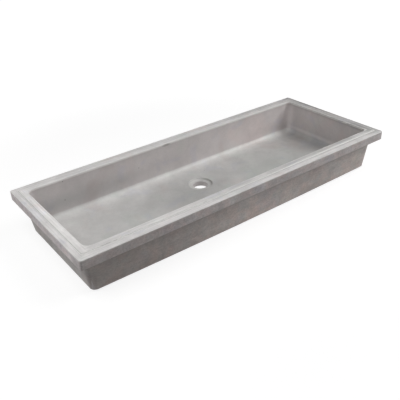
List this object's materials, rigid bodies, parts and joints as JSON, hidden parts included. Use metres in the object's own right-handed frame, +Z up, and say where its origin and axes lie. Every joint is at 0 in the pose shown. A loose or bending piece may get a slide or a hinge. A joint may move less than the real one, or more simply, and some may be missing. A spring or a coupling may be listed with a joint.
{
  "type": "trough sink",
  "caption": "Long shallow rectangular trough sink in cast concrete with a flat flange rim, rounded bowl corners, a floor that falls to one recessed round drain hole, and buried steel bars.",
  "frame": {"origin": "under the middle of the basin's plan, on the surface that the lowest part of the underside rests on", "axes": "+X along the length, front faces -Y, drain is set towards the back (+Y), +Z up through the bowl's mouth"},
  "size_m": [1.2192, 0.4826, 0.148],
  "materials": {
    "concrete": "matte sealed cast concrete",
    "bar_steel": "galvanised"
  },
  "bodies": {
    "root": {"basin": "concrete", "rim_hoop": "bar_steel", "drain_hoop": "bar_steel", "long_wire_1": "bar_steel", "long_wire_2": "bar_steel", "long_wire_3": "bar_steel", "long_wire_4": "bar_steel", "cross_wire_1": "bar_steel", "cross_wire_2": "bar_steel", "cross_wire_3": "bar_steel", "cross_wire_4": "bar_steel", "cross_wire_5": "bar_steel", "cross_wire_6": "bar_steel"}
  },
  "joints": []
}
